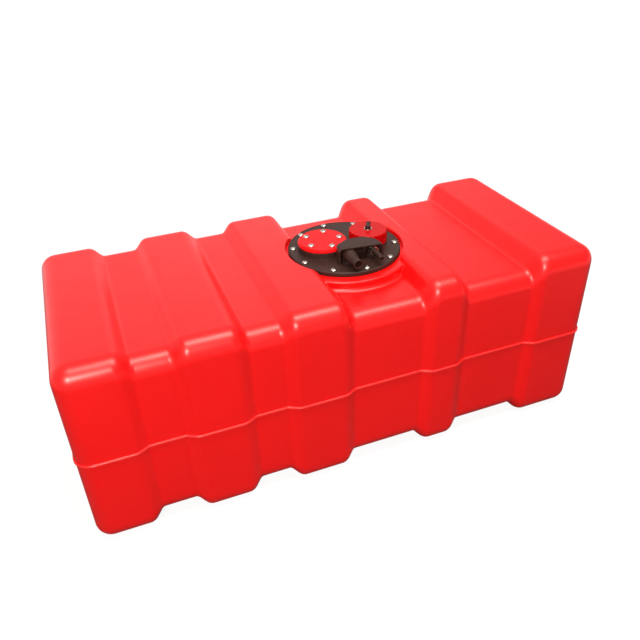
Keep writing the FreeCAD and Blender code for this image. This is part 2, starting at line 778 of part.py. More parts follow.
def filler_elbow():
    body = new_body("filler_elbow")
    points = [
        ("filler_back", "0"),
        ("filler_back", "filler_root_radius - filler_round"),
        ("filler_back - filler_round", "filler_root_radius"),
        ("- filler_root", "filler_root_radius"),
    ]
    for barb in range(FILLER_BARBS):
        share = f"{barb / FILLER_BARBS}*filler_taper"
        start = f"- filler_root - {barb}*filler_barb_pitch"
        crest = f"filler_root_radius - {share}"
        points.append((start, crest + " - filler_barb_height"))
        points.append((start + " - 0.2*filler_barb_pitch", crest))
        points.append((start + " - 1*filler_barb_pitch", crest + " - filler_barb_height"))
    barbs_end = f"- filler_root - {FILLER_BARBS}*filler_barb_pitch"
    points.append((barbs_end, "filler_land_radius"))
    points.append((barbs_end + " - filler_land_length", "filler_land_radius"))
    points.append((barbs_end + " - filler_land_length", "0"))
    spin(body, "filler_tail", "YZ_Plane", "H_Axis", points)

    collar_base = "- tail_height + filler_seal_thickness"
    stem_base = "- tail_height - plate_thickness - filler_stem_depth"
    stem = (
        ("0", "0"),
        ("0", stem_base),
        ("filler_stem_radius", stem_base),
        ("filler_stem_radius", collar_base),
        ("filler_collar_radius", collar_base),
        ("filler_collar_radius", collar_base + " + filler_collar_height"),
        ("filler_stem_radius", collar_base + " + filler_collar_height"),
        ("filler_stem_radius", "0"),
    )
    spin(body, "filler_stem", "XZ_Plane", "V_Axis", stem)
    doc.recompute()
    mouth = barbs_end + " - filler_land_length - 1"
    bore_along = (("0", "0"), ("0", "filler_bore"), (mouth, "filler_bore"), (mouth, "0"))
    spin(body, "filler_bore_along", "YZ_Plane", "H_Axis", bore_along, cut=True)
    low = stem_base + " - 1"
    bore_down = (("0", "0"), ("0", low), ("filler_bore", low), ("filler_bore", "0"))
    spin(body, "filler_bore_down", "XZ_Plane", "V_Axis", bore_down, cut=True)
    place(body, FILLER, TAIL_AXIS)
    return body


def vent_elbow():
    body = new_body("vent_elbow")
    mouth = "- vent_root - vent_pipe_length"
    points = (
        ("vent_back", "0"),
        ("vent_back", "vent_root_radius - vent_round"),
        ("vent_back - vent_round", "vent_root_radius"),
        ("- vent_root", "vent_root_radius"),
        ("- vent_root", "vent_seat_radius"),
        ("- vent_root - ferrule_length", "vent_seat_radius"),
        ("- vent_root - ferrule_length", "vent_pipe_radius"),
        (mouth + " + vent_mouth_bevel", "vent_pipe_radius"),
        (mouth, "vent_pipe_radius - vent_mouth_bevel"),
        (mouth, "0"),
    )
    spin(body, "vent_tail", "YZ_Plane", "H_Axis", points)
    collar_base = "- tail_height + vent_seal_thickness"
    stem_base = "- tail_height - plate_thickness - vent_stem_depth"
    stem = (
        ("0", "0"),
        ("0", stem_base),
        ("vent_stem_radius", stem_base),
        ("vent_stem_radius", collar_base),
        ("vent_collar_radius", collar_base),
        ("vent_collar_radius", collar_base + " + vent_collar_height"),
        ("vent_stem_radius", collar_base + " + vent_collar_height"),
        ("vent_stem_radius", "0"),
    )
    spin(body, "vent_stem", "XZ_Plane", "V_Axis", stem)
    doc.recompute()
    bore_along = (("0", "0"), ("0", "vent_bore"), (mouth + " - 1", "vent_bore"), (mouth + " - 1", "0"))
    spin(body, "vent_bore_along", "YZ_Plane", "H_Axis", bore_along, cut=True)
    low = stem_base + " - 1"
    bore_down = (("0", "0"), ("0", low), ("vent_bore", low), ("vent_bore", "0"))
    spin(body, "vent_bore_down", "XZ_Plane", "V_Axis", bore_down, cut=True)
    place(body, VENT, TAIL_AXIS)
    return body


def lock_nut(label, flats, bore, height, spot):
    """Hexagon nut against the plate's underside."""
    nut = doc.addObject("Part::Prism", label + "_hexagon")
    nut.Polygon = 6
    nut.setExpression("Circumradius", linked(f"{1 / math.cos(math.pi / 6):.6f}*{flats}"))
    nut.setExpression("Height", linked(height))
    place(nut, spot, PLATE_BASE + " - " + height)
    hole = cylinder(label + "_hole", bore + " + thread_fit", "2*" + height, spot,
                    PLATE_BASE + " - 1.5*" + height)
    return cut(label, nut, hole)


def vent_collar():
    body = new_body("vent_collar")
    inner = "vent_seat_radius + thread_fit"
    points = (
        ("0", inner),
        ("0", "ferrule_radius"),
        ("- ferrule_ring", "ferrule_radius"),
        ("- ferrule_ring", "ferrule_waist"),
        ("- ferrule_length + ferrule_ring", "ferrule_waist"),
        ("- ferrule_length + ferrule_ring", "ferrule_radius"),
        ("- ferrule_length", "ferrule_radius"),
        ("- ferrule_length", inner),
    )
    spin(body, "vent_collar_turned", "YZ_Plane", "H_Axis", points)
    place(body, (VENT[0], VENT[1] + " - vent_root"), TAIL_AXIS)
    return body


# Pickup

def pickup_plug():
    stem_top = "shoulder_thickness + nut_top + stem_rise"
    seat_radius = "swivel_radius + swivel_play + seal_width"
    seat_floor = stem_top + " - 0.5*swivel_depth"
    socket_floor = stem_top + " - swivel_depth - swivel_play"
    spigot_low = "- plug_depth - spigot_length"
    points = (
        ("fuel_bore", spigot_low),
        ("spigot_radius", spigot_low),
        ("spigot_radius", "- plug_depth"),
        ("neck_bore - plug_play", "- plug_depth"),
        ("neck_bore - plug_play", "0"),
        ("neck_radius - shoulder_margin", "0"),
        ("neck_radius - shoulder_margin", "shoulder_thickness"),
        ("stem_radius", "shoulder_thickness"),
        ("stem_radius", stem_top),
        (seat_radius, stem_top),
        (seat_radius, seat_floor),
        ("swivel_radius + swivel_play", seat_floor),
        ("swivel_radius + swivel_play", socket_floor),
        ("fuel_bore", socket_floor),
    )
    return turned("pickup_plug", points, PICKUP, SHOULDER_BASE)


def strainer():
    body = new_body("strainer")
    socket = "spigot_radius + thread_fit + tube_wall + thread_fit"
    inside = "strainer_radius - strainer_wall"
    neck_base = "strainer_height - strainer_socket"
    points = (
        ("0", "0"),
        ("strainer_radius", "0"),
        ("strainer_radius", neck_base),
        (socket + " + strainer_wall", "strainer_height"),
        (socket, "strainer_height"),
        (socket, neck_base + " - strainer_wall"),
        (inside, neck_base + " - 2*strainer_wall"),
        (inside, "strainer_wall"),
        ("0", "strainer_wall"),
    )
    spin(body, "strainer_cup", "XZ_Plane", "V_Axis", points)
    doc.recompute()
    slot = new_sketch(body, "strainer_slot_outline", "XZ_Plane")
    outline(slot, (
        ("-0.5*strainer_slot_width", "2*strainer_wall"),
        ("0.5*strainer_slot_width", "2*strainer_wall"),
        ("0.5*strainer_slot_width", "2*strainer_wall + strainer_slot_height"),
        ("-0.5*strainer_slot_width", "2*strainer_wall + strainer_slot_height"),
    ))
    pocket = body.newObject("PartDesign::Pocket", "strainer_slot")
    pocket.Profile = slot
    pocket.Type = "ThroughAll"
    doc.recompute()
    pattern = body.newObject("PartDesign::PolarPattern", "strainer_slots")
    pattern.Originals = [pocket]
    pattern.Axis = (origin_part(body, "Z_Axis"), [""])
    pattern.Angle = 360.0
    pattern.Occurrences = STRAINER_SLOTS
    body.Tip = pattern
    place(body, PICKUP, INNER_FLOOR + " + strainer_gap")
    return body


def dip_tube():
    inner = "spigot_radius + thread_fit"
    foot = INNER_FLOOR + " + strainer_gap + strainer_height - strainer_socket"
    length = PLUG_BASE + " - base_groove - wall - strainer_gap - strainer_height + strainer_socket"
    points = ((inner, "0"), (inner + " + tube_wall", "0"), (inner + " + tube_wall", length),
              (inner, length))
    return turned("dip_tube", points, PICKUP, foot)


def ring_nut():
    body = new_body("ring_nut")
    hole = "stem_radius + nut_play"
    skirt = "neck_radius + nut_play"
    low = "- neck_height - pickup_seal_thickness - shoulder_thickness + nut_foot_gap"
    points = (
        (hole, "0"),
        (skirt, "0"),
        (skirt, low),
        ("nut_radius", low),
        ("nut_radius", "nut_top - nut_bevel"),
        ("nut_radius - nut_bevel", "nut_top"),
        (hole, "nut_top"),
    )
    spin(body, "nut_turned", "XZ_Plane", "V_Axis", points)
    doc.recompute()
    plain_volume = body.Shape.Volume
    sketch = new_sketch(body, "flute_outline", "XY_Plane")
    centre = "nut_radius + flute_radius - flute_depth"
    sketch.addGeometry(Part.Circle(Vector(total(centre), 0, 0), Vector(0, 0, 1),
                                   size("flute_radius")), False)
    tie_point(sketch, 0, 3, centre, "0")
    rule = sketch.addConstraint(Sketcher.Constraint("Radius", 0, size("flute_radius")))
    sketch.setExpression(f"Constraints[{rule}]", linked("flute_radius"))
    flute = body.newObject("PartDesign::Pocket", "flute")
    flute.Profile = sketch
    flute.Type = "ThroughAll"
    flute.Midplane = True
    doc.recompute()
    pattern = body.newObject("PartDesign::PolarPattern", "flutes")
    pattern.Originals = [flute]
    pattern.Axis = (origin_part(body, "Z_Axis"), [""])
    pattern.Angle = 360.0
    pattern.Occurrences = NUT_FLUTES
    body.Tip = pattern
    doc.recompute()
    print("ring nut volume, plain and fluted", round(plain_volume), round(body.Shape.Volume))
    place(body, PICKUP, NUT_CEILING)
    return body


def outlet_elbow():
    body = new_body("outlet_elbow")
    barb = "outlet_tail_length - outlet_barb_length"
    tail = (
        ("0", "0"),
        ("0", "outlet_tail_radius"),
        (barb, "outlet_tail_radius"),
        (barb, "outlet_tail_radius + outlet_barb_height"),
        ("outlet_tail_length", "outlet_tail_radius"),
        ("outlet_tail_length", "0"),
    )
    spin(body, "outlet_tail", "XZ_Plane", "H_Axis", tail)
    foot = "- outlet_rise + swivel_play"
    spigot = "- outlet_rise - swivel_depth"
    upright = (
        ("0", spigot),
        ("swivel_radius", spigot),
        ("swivel_radius", foot),
        ("outlet_radius", foot),
        ("outlet_radius", "0.5*outlet_tail_radius"),
        ("0.5*outlet_radius", "outlet_tail_radius"),
        ("0", "outlet_tail_radius"),
    )
    spin(body, "outlet_upright", "XZ_Plane", "V_Axis", upright)
    doc.recompute()
    far = "outlet_tail_length + 1"
    along = (("0", "0"), ("0", "outlet_bore"), (far, "outlet_bore"), (far, "0"))
    spin(body, "outlet_bore_along", "XZ_Plane", "H_Axis", along, cut=True)
    down = (("0", spigot + " - 1"), ("outlet_bore", spigot + " - 1"), ("outlet_bore", "0"), ("0", "0"))
    spin(body, "outlet_bore_down", "XZ_Plane", "V_Axis", down, cut=True)
    place(body, PICKUP, STEM_TOP + " + outlet_rise")
    body.setExpression("Placement.Rotation.Angle", linked("outlet_turn"))
    return body


def build():
    """All the pieces, each to be written under its label."""
    flange_turn, gauge_turn = size("screw_turn"), -size("gauge_turn")
    pieces = [
        tank_shell(),
        insert_ring("flange_inserts", FLANGE_SCREWS, "insert_radius", "screw_radius",
                    "insert_length", SEAT, SCREW_CIRCLE, flange_turn, FLANGE),
        flange_gasket(),
        flange_plate(),
        screw_ring("flange_screws", FLANGE_SCREWS, "screw_radius",
                   "plate_thickness - rim_height + gasket_thickness + screw_grip",
                   PLATE_TOP + " - rim_height", SCREW_CIRCLE, flange_turn, FLANGE),
        insert_ring("gauge_inserts", GAUGE_SCREWS, "gauge_insert_radius", "gauge_screw_radius",
                    "gauge_insert_length", PAD_TOP, "gauge_circle", gauge_turn, GAUGE),
        gauge_gasket(),
        gauge_cover(),
        screw_ring("gauge_cover_screws", GAUGE_SCREWS, "gauge_screw_radius",
                   "cover_thickness + gauge_gasket_thickness + gauge_screw_grip",
                   COVER_TOP, "gauge_circle", gauge_turn, GAUGE),
        filler_elbow(),
        ring("filler_seal", "filler_stem_radius + thread_fit", "filler_collar_radius",
             "filler_seal_thickness + rim_height", FILLER, PLATE_TOP + " - rim_height"),
        lock_nut("filler_lock_nut", "filler_nut_flats", "filler_stem_radius", "filler_nut_height",
                 FILLER),
        vent_elbow(),
        ring("vent_seal", "vent_stem_radius + thread_fit", "vent_collar_radius",
             "vent_seal_thickness + rim_height", VENT, PLATE_TOP + " - rim_height"),
        lock_nut("vent_lock_nut", "vent_nut_flats", "vent_stem_radius", "vent_nut_height", VENT),
        vent_collar(),
        pickup_plug(),
        ring("pickup_seal", "neck_bore", "neck_radius - shoulder_margin", "pickup_seal_thickness",
             PICKUP, NECK_TOP),
        dip_tube(),
        strainer(),
        ring("retaining_ring", "stem_radius + thread_fit", "retainer_radius", "retainer_thickness",
             PICKUP, NUT_CROWN),
        ring("outlet_seal", "swivel_radius + swivel_play",
             "swivel_radius + swivel_play + seal_width", "0.5*swivel_depth", PICKUP,
             STEM_TOP + " - 0.5*swivel_depth"),
        ring_nut(),
        outlet_elbow(),
    ]
    doc.recompute()
    return pieces


def check(pieces):
    """Stop before anything is written if an object failed or a shape is bad."""
    for item in doc.Objects:
        if {"Invalid", "Error"} & set(item.State):
            raise RuntimeError(f"{item.Name} is {item.State}")
    for item in pieces:
        if item.Shape.isNull() or not item.Shape.isValid() or not item.Shape.Solids:
            raise RuntimeError(f"{item.Label} has no good shape")


def export(pieces):
    os.makedirs("parts", exist_ok=True)
    for item in pieces:
        item.Shape.exportStep(os.path.join("parts", item.Label + ".step"))


parts = build()
check(parts)
export(parts)
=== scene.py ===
import json
import math

import bmesh
import bpy
from mathutils import Matrix, Vector


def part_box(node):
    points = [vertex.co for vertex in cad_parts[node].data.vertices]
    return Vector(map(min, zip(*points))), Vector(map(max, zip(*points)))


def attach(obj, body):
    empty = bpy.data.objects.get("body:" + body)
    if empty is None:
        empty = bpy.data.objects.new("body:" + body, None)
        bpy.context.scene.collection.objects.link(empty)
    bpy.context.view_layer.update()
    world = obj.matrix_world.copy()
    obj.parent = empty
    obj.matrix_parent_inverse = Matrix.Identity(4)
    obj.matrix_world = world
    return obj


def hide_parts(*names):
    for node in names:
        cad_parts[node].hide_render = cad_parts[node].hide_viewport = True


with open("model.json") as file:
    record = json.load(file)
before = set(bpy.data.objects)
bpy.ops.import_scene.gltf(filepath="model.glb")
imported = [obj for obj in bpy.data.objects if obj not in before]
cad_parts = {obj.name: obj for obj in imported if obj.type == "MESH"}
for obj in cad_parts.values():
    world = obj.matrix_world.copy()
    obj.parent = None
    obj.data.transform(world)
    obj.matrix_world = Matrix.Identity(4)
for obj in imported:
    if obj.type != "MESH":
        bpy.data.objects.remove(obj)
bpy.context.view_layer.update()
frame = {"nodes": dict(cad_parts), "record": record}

NODES = frame["nodes"]
MM = 0.001

# Screws, in mm: node, piece name, number, circle, first angle in degrees, centre, shank radius,
# thread pitch
SCREW_SETS = (
    ("flange_screws", "flange_screw", 10, 80, 20, (51, 0), 2.4, 0.8),
    ("gauge_cover_screws", "gauge_screw", 5, 27.2, -6.5, (17.5, 6.5), 1.9, 0.7),
)
SCREW_SIDES = 48
SCREW_TURN = 1.2          # turn of the recess from one screw to the next, in radians
HEAD_RADIUS = 4.7
HEAD_HEIGHT = 3.0
HEAD_EDGE = 0.9           # height of the head's upright edge
HEAD_BEVEL = 0.2          # bevel of the head's lower edge
DOME_STEPS = (0, 15, 30, 42, 52)   # angles of the dome's rings, in degrees
RECESS_FLOOR = 1.4        # height of the cross recess's floor
RECESS_TAPER = 0.78       # size of the floor against the rim
RECESS_ARM = 2.1          # reach of its arms
RECESS_HALF = 0.5         # half width of an arm
RECESS_CORE = 0.85        # least radius between the arms
ARM_MIDDLE = 0.01         # angle from an arm's middle within which its end is round, in radians
TIP_STEPS = ((0.5, 0), (0.8, 0.3))   # share of the shank's radius, and height over the tip
THREAD_START = 0.6        # height of the thread's first ring over the tip
THREAD_RINGS = 3          # rings to a turn
THREAD_DEPTH = 0.35
PLAIN_SHANK = 0.8         # plain length below the head

# Thread of the pickup's neck, in mm
NECK_AXIS = (92, 0)
NECK_THREAD = (299.8, 309.2)   # lowest and highest height of its middle line
NECK_PITCH = 4.0
NECK_ROOT = 25.05
NECK_CREST = 25.5
NECK_STEPS = 96           # steps to a turn
NECK_RUN_OUT = 12         # the ridge dies out over one in so many of its steps at each end
# Share of the ridge's height, and height in mm, of its section's corners
NECK_SECTION = ((0, -0.95), (1, -0.3), (1, 0.3), (0, 0.95))

# Mark that the moulding gate left in the middle of the gauge cover, in mm
GATE_SPOT = (17.5, 6.5)
GATE_PROFILE = ((2.3, -0.2), (2.3, 0.06), (2.0, 0.22), (1.3, 0.26), (1.0, 0.1), (0.5, 0.06))

SHARP_ANGLE = 38          # degrees from which a new piece's edge shows as sharp

# Camera, fitted to the photograph's edges
CAMERA_PLACE = (-0.3065, -0.8501, 0.7675)
CAMERA_YAW = 0.3528       # right of +Y, in radians
CAMERA_PITCH = 0.5839     # downward
CAMERA_ROLL = -0.0352
CAMERA_CLIP = (0.01, 100)
FOCAL_PIXELS = 654.3
FRAME_PIXELS = 640
SENSOR = 36.0

# Finishes
WHITE = (1, 1, 1, 1)
TANK_REDS = ((0.82, 0.0016, 0.0020, 1), (0.88, 0.0022, 0.0026, 1))
TANK_CLOUD = (0.80, 0.0014, 0.0018, 1)
# Lighter red along the parting bead: scuffs, and a painted highlight along the bead
TANK_SEAM_SCUFF_AND_HIGHLIGHT = (0.90, 0.10, 0.09, 1)
SEAM_HEIGHT = 0.150       # parting line of the tank's mould
SEAM_HALF = 0.0035        # half height of the band along it with scuffs and a painted highlight
COVER_REDS = ((0.80, 0.0040, 0.0056, 1), (0.83, 0.0050, 0.0066, 1))
NUT_REDS = ((0.44, 0.0006, 0.0014, 1), (0.47, 0.0008, 0.0018, 1))
NUT_SIDE = (0.0555, 0.0565)    # X between the gauge cover and the ring nut
BLACKS = ((0.020, 0.0056, 0.0038, 1), (0.032, 0.0110, 0.0076, 1))
BLACK_DUST = (0.046, 0.020, 0.015, 1)
STEELS = ((0.66, 0.61, 0.56, 1), (0.50, 0.46, 0.41, 1))
FERRULE_DULL = (0.045, 0.036, 0.030, 1)
FERRULE_AXIS = (0.076, 0.310)  # X and Z of the small hose tail
FERRULE_WAIST = (0.0054, 0.0060)   # radii between its ferrule's dull waist and bright rings
BRASSES = ((0.76, 0.56, 0.24, 1), (0.52, 0.35, 0.14, 1))
RUBBERS = ((0.011, 0.009, 0.008, 1), (0.020, 0.017, 0.015, 1))
TUBE_GREYS = ((0.27, 0.27, 0.28, 1), (0.36, 0.36, 0.37, 1))

# Studio
FLOOR_SIZE = 16.0
FLOOR_GREYS = ((0.12, 0.12, 0.12, 1), (0.13, 0.13, 0.13, 1))
FLOOR_NEAR_LIFT_PAINTED_SHADE = 0.89         # glow close to the tank, lower than far off as a painted shade around it, where the floor also carries its shadow
FLOOR_FAR_LIFT = 1.0
FLOOR_NEAR_SHARE = 0.0    # share of the glow that gloss shows close to the tank; none, a painted dark reflection of the floor in the tank
FLOOR_FADE = (0.5, 1.4)   # distances over which the glow and that share rise
FLOOR_LONG = 0.6          # how much a distance along the tank's length counts
SKY_FILL = 0.24           # plain light from all round
SKY_LEFT = 0.85           # what gloss shows of the sky on the left
SKY_RIGHT = 0.25
SKY_TURN = (0.42, 0.56)   # span of the direction's X over which it falls
WARM = (1, 0.93, 0.84)
# Name, place, target, width, height, watts, colour, and whether gloss mirrors it
SOFTBOXES = (
    ("flash", (-0.75, -1.5, 1.3), (-0.1, -0.1, 0.25), 0.22, 0.22, 31, WARM, True),
    ("overhead", (0.2, -0.45, 2.0), (0.2, -0.2, 0.3), 1.6, 0.5, 36, WARM, True),
    ("back_fill", (0.4, 2.0, 1.4), (0, 0, 0.2), 1.0, 1.0, 12, WHITE[:3], False),
)


# Camera

def set_camera():
    forward = Vector((
        math.sin(CAMERA_YAW) * math.cos(CAMERA_PITCH),
        math.cos(CAMERA_YAW) * math.cos(CAMERA_PITCH),
        -math.sin(CAMERA_PITCH),
    ))
    level = Vector((math.cos(CAMERA_YAW), -math.sin(CAMERA_YAW), 0))
    upright = level.cross(forward)
    right = math.cos(CAMERA_ROLL) * level + math.sin(CAMERA_ROLL) * upright
    up = math.cos(CAMERA_ROLL) * upright - math.sin(CAMERA_ROLL) * level
    data = bpy.data.cameras.new("camera")
    data.sensor_width = SENSOR
    data.lens = SENSOR * FOCAL_PIXELS / FRAME_PIXELS
    data.clip_start, data.clip_end = CAMERA_CLIP
    camera = bpy.data.objects.new("camera", data)
    camera.matrix_world = Matrix((
        (right.x, up.x, -forward.x, CAMERA_PLACE[0]),
        (right.y, up.y, -forward.y, CAMERA_PLACE[1]),
        (right.z, up.z, -forward.z, CAMERA_PLACE[2]),
        (0, 0, 0, 1),
    ))
    bpy.context.scene.collection.objects.link(camera)
    bpy.context.scene.camera = camera


# Node trees

class Nodes:
    """A node tree, with a short call for each kind of node that it uses."""

    def __init__(self, tree):
        self.tree = tree

    def node(self, kind, **settings):
        made = self.tree.nodes.new(kind)
        for setting, value in settings.items():
            setattr(made, setting, value)
        return made

    def feed(self, socket, value):
        """Link an output, or set a plain value."""
        if isinstance(value, bpy.types.NodeSocket):
            self.tree.links.new(value, socket)
        else:
            socket.default_value = value

    def spread(self, value, low, high, start=0.3, end=0.7):
        """Map a value from start..end to low..high, held at both ends."""
        made = self.node("ShaderNodeMapRange", clamp=True)
        self.feed(made.inputs["Value"], value)
        numbers = {"From Min": start, "From Max": end, "To Min": low, "To Max": high}
        for socket, number in numbers.items():
            made.inputs[socket].default_value = number
        return made.outputs["Result"]

    def calc(self, operation, first, second=0):
        made = self.node("ShaderNodeMath", operation=operation)
        self.feed(made.inputs[0], first)
        self.feed(made.inputs[1], second)
        return made.outputs["Value"]

    def diagonal(self, first, second):
        """Length of the diagonal over two sides."""
        squares = [self.calc("POWER", side, 2) for side in (first, second)]
        return self.calc("SQRT", self.calc("ADD", *squares))

    def part(self, vector, name):
        """One coordinate of a vector."""
        made = self.node("ShaderNodeSeparateXYZ")
        self.feed(made.inputs["Vector"], vector)
        return made.outputs[name]

    def is_seen(self, mirrored):
        """1 for rays from the camera, and the mirrored share for those that gloss sends on."""
        path = self.node("ShaderNodeLightPath")
        total = path.outputs["Is Camera Ray"]
        for name in ("Is Glossy Ray", "Is Transmission Ray"):
            share = self.calc("MULTIPLY", path.outputs[name], mirrored)
            total = self.calc("MAXIMUM", total, share)
        return total


class Finish(Nodes):
    """One surface's material."""

    def __init__(self, name, **sockets):
        self.material = bpy.data.materials.new(name)
        self.material.use_nodes = True
        super().__init__(self.material.node_tree)
        self.shader = self.tree.nodes["Principled BSDF"]
        for socket, value in sockets.items():
            self.shader.inputs[socket.replace("_", " ")].default_value = value
        self.object_place = self.node("ShaderNodeTexCoord").outputs["Object"]

    def set(self, socket, value):
        self.feed(self.shader.inputs[socket], value)

    def noise(self, grain, detail=3.0, roughness=0.55, stretch=(1, 1, 1)):
        """Noise whose features are about grain metres across."""
        place = self.node("ShaderNodeMapping")
        self.feed(place.inputs["Vector"], self.object_place)
        place.inputs["Scale"].default_value = stretch
        made = self.node("ShaderNodeTexNoise")
        self.feed(made.inputs["Vector"], place.outputs["Vector"])
        made.inputs["Scale"].default_value = 1 / grain
        made.inputs["Detail"].default_value = detail
        made.inputs["Roughness"].default_value = roughness
        return made.outputs["Fac"]

    def mixed(self, share, first, second):
        """Blend of two colours."""
        made = self.node("ShaderNodeMix", data_type="RGBA")
        self.feed(made.inputs["Factor"], share)
        self.feed(made.inputs["A"], first)
        self.feed(made.inputs["B"], second)
        return made.outputs["Result"]

    def shaded(self, noise, colours):
        """Pair of colours, blended by a noise."""
        return self.mixed(self.spread(noise, 0, 1), *colours)

    def axis(self, name):
        """One coordinate of the surface point, in metres."""
        return self.part(self.object_place, name)

    def near(self, value, middle, half):
        """1 where the value is at the middle, falling to 0 at half away from it."""
        away = self.calc("ABSOLUTE", self.calc("SUBTRACT", value, middle))
        return self.spread(away, 1, 0, 0, half)

    def relief(self, *layers, edge=None):
        """Bump from (height, depth in metres) layers, each on top of the one before.

        The edges below them are rounded by edge.
        """
        normal = None
        if edge:
            rounded = self.node("ShaderNodeBevel")
            rounded.inputs["Radius"].default_value = edge
            normal = rounded.outputs["Normal"]
        for height, depth in layers:
            made = self.node("ShaderNodeBump")
            made.inputs["Distance"].default_value = depth
            self.feed(made.inputs["Height"], height)
            if normal is not None:
                self.feed(made.inputs["Normal"], normal)
            normal = made.outputs["Normal"]
        self.set("Normal", normal)


# Finishes. Each is named after its slot in the record.

def tank_red():
    """Rotationally moulded polyethylene: satin, faintly wavy, scuffed at the parting bead, with a
    painted highlight along it.
    """
    finish = Finish("tank_red", IOR=1.5, Specular_IOR_Level=0.5)
    drift = finish.noise(0.22, 2)
    cloud = finish.noise(0.03, 2)
    speck = finish.noise(0.0009, 2)
    seam = finish.near(finish.axis("Z"), SEAM_HEIGHT, SEAM_HALF)
    # Band along the parting bead: lighter colour for scuffs and a painted highlight, and rougher
    seam_scuff_and_highlight = finish.calc("MULTIPLY", seam, finish.spread(finish.noise(0.004, 4), 0.1, 0.75))
    colour = finish.shaded(drift, TANK_REDS)
    colour = finish.mixed(finish.spread(cloud, 0, 0.3), colour, TANK_CLOUD)
    colour = finish.mixed(finish.calc("MULTIPLY", seam_scuff_and_highlight, 0.35), colour, TANK_SEAM_SCUFF_AND_HIGHLIGHT)
    finish.set("Base Color", colour)
    rough = finish.spread(cloud, 0.33, 0.37)
    rough = finish.calc("ADD", rough, finish.spread(speck, -0.01, 0.01))
    rough = finish.calc("ADD", rough, finish.calc("MULTIPLY", seam_scuff_and_highlight, 0.12))
    finish.set("Roughness", rough)
    finish.relief(
        (finish.noise(0.09, 2), 0.0009),
        (finish.noise(0.006, 2), 0.00002),
        (speck, 0.000003),
        edge=0.0014,
    )
    return finish.material


def fitting_red():
    """Moulded gloss plastic with flow marks and hairlines. The ring nut is a deeper red."""
    finish = Finish("fitting_red", IOR=1.2)
    flow = finish.noise(0.03, 1, stretch=(1, 1.6, 1))
    hairs = finish.noise(0.0016, 3, 0.6, stretch=(1, 12, 1))
    cover = finish.shaded(flow, COVER_REDS)
    nut = finish.shaded(flow, NUT_REDS)
    is_nut = finish.spread(finish.axis("X"), 0, 1, *NUT_SIDE)
    finish.set("Base Color", finish.mixed(is_nut, cover, nut))
    rough = finish.calc("ADD", finish.spread(flow, 0.17, 0.21), finish.spread(hairs, 0, 0.06))
    finish.set("Roughness", rough)
    finish.relief((flow, 0.00008), (hairs, 0.000003), edge=0.0008)
    return finish.material


def fitting_black():
    """Glass-filled plastic: brownish black, fine grain, slightly dusty on its high spots."""
    finish = Finish("fitting_black", IOR=1.5, Specular_IOR_Level=0.3)
    cloud = finish.noise(0.012, 4)
    grain = finish.noise(0.00035, 3, 0.65)
    fibre = finish.noise(0.0012, 3, 0.6, stretch=(1, 0.25, 1))
    colour = finish.shaded(cloud, BLACKS)
    colour = finish.mixed(finish.spread(grain, 0, 0.5), colour, BLACK_DUST)
    finish.set("Base Color", colour)
    rough = finish.calc("ADD", finish.spread(fibre, 0.42, 0.52), finish.spread(grain, 0, 0.08))
    finish.set("Roughness", rough)
    finish.relief((fibre, 0.00004), (grain, 0.00002), edge=0.0009)
    return finish.material


def steel():
    """Stainless steel, turned and lightly brushed. The ferrule's waist is dull."""
    finish = Finish("steel", Metallic=1.0)
    brush = finish.noise(0.0011, 4, 0.6, stretch=(1, 1, 9))
    blotch = finish.noise(0.0032, 3)
    colour = finish.shaded(blotch, STEELS)
    across = finish.calc("SUBTRACT", finish.axis("X"), FERRULE_AXIS[0])
    upward = finish.calc("SUBTRACT", finish.axis("Z"), FERRULE_AXIS[1])
    waist = finish.spread(finish.diagonal(across, upward), 1, 0, *FERRULE_WAIST)
    finish.set("Base Color", finish.mixed(waist, colour, FERRULE_DULL))
    finish.set("Roughness", finish.spread(brush, 0.18, 0.34))
    finish.relief((brush, 0.00001), (blotch, 0.00003), edge=0.0002)
    return finish.material


def brass():
    """Turned brass, slightly stained."""
    finish = Finish("brass", Metallic=1.0)
    turned = finish.noise(0.0009, 3, stretch=(1, 1, 6))
    stain = finish.noise(0.003, 4)
    finish.set("Base Color", finish.shaded(stain, BRASSES))
    finish.set("Roughness", finish.spread(turned, 0.24, 0.42))
    finish.relief((turned, 0.00002))
    return finish.material


def rubber():
    """Matt fuel-proof rubber with bloom."""
    finish = Finish("rubber", Specular_IOR_Level=0.2)
    bloom = finish.noise(0.006, 4)
    grain = finish.noise(0.0004, 2)
    finish.set("Base Color", finish.shaded(bloom, RUBBERS))
    finish.set("Roughness", finish.spread(bloom, 0.62, 0.80))
    finish.relief((grain, 0.00003))
    return finish.material


def tube_grey():
    """Extruded tube: faint lines along its length."""
    finish = Finish("tube_grey", Specular_IOR_Level=0.45)
    lines = finish.noise(0.0012, 3, stretch=(1, 1, 0.03))
    cloud = finish.noise(0.02, 3)
    finish.set("Base Color", finish.shaded(cloud, TUBE_GREYS))
    finish.set("Roughness", finish.spread(lines, 0.34, 0.5))
    finish.relief((lines, 0.00004))
    return finish.material


def dress_nodes():
    """Give each CAD node the finish of its slot in the record."""
    makers = (tank_red, fitting_red, fitting_black, steel, brass, rubber, tube_grey)
    finishes = {maker.__name__: maker() for maker in makers}
    for part in frame["record"]["subparts"]:
        node = NODES[part["node"]]
        node.data.materials.clear()
        node.data.materials.append(finishes[part["material_slot"]])
    return finishes


# Pieces

def joined(shape, name):
    """Mesh object of a bmesh, smooth but for its sharp edges."""
    bmesh.ops.recalc_face_normals(shape, faces=shape.faces)
    mesh = bpy.data.meshes.new(name)
    shape.to_mesh(mesh)
    shape.free()
    mesh.shade_smooth()
    mesh.set_sharp_from_angle(angle=math.radians(SHARP_ANGLE))
    piece = bpy.data.objects.new(name, mesh)
    bpy.context.scene.collection.objects.link(piece)
    return piece


